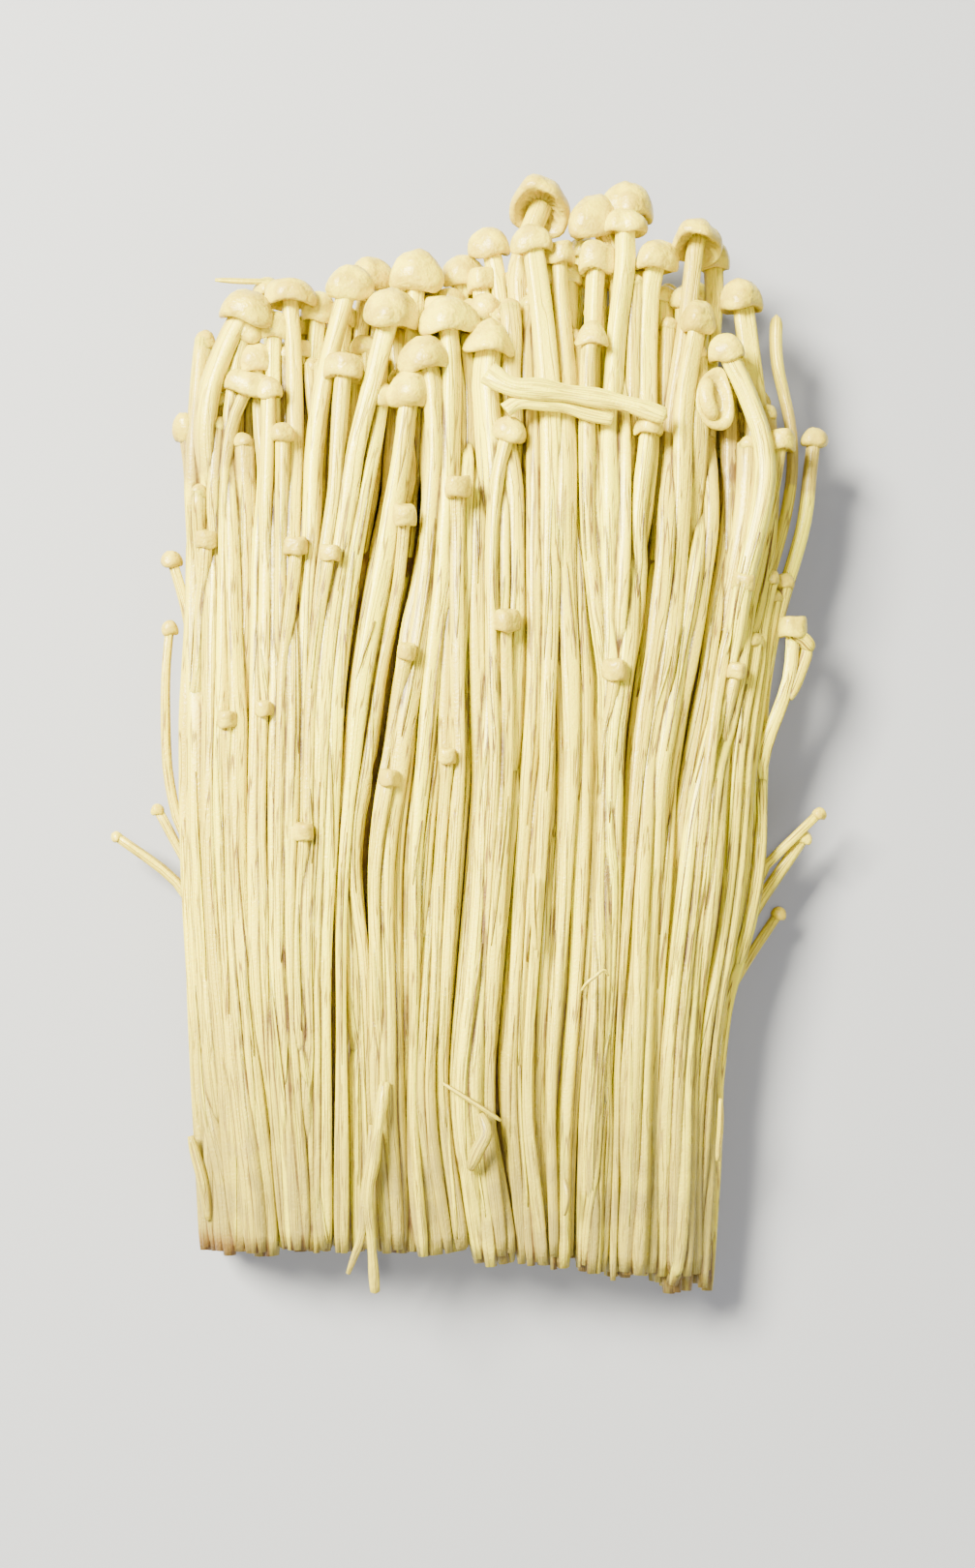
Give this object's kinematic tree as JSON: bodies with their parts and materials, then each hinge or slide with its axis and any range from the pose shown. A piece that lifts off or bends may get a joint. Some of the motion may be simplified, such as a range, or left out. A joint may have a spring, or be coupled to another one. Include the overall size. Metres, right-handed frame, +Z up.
{
  "type": "enoki mushroom bunch",
  "caption": "Bunch of enoki mushrooms cut off its growing block and lying on its side: long thin pale stems grown together in side-by-side tufts, with small domed caps at the head end.",
  "frame": {"origin": "the point on the table under the middle of the bunch, on the flattened underside of the middle tuft", "axes": "+Z up from the table, +Y along the stems from the cut foot to the heads, +X across the bunch to the right seen from above with the heads up"},
  "size_m": [0.0952, 0.1439, 0.0221],
  "materials": {
    "mushroom_flesh": "satin"
  },
  "bodies": {
    "root": {"tuft_01": "mushroom_flesh", "tuft_02": "mushroom_flesh", "tuft_03": "mushroom_flesh", "tuft_04": "mushroom_flesh", "tuft_05": "mushroom_flesh", "tuft_06": "mushroom_flesh", "tuft_07": "mushroom_flesh", "tuft_08": "mushroom_flesh", "tuft_09": "mushroom_flesh", "loose_stem_across_upper": "mushroom_flesh", "loose_stem_across_lower": "mushroom_flesh", "loose_stem_foot": "mushroom_flesh"}
  },
  "joints": []
}
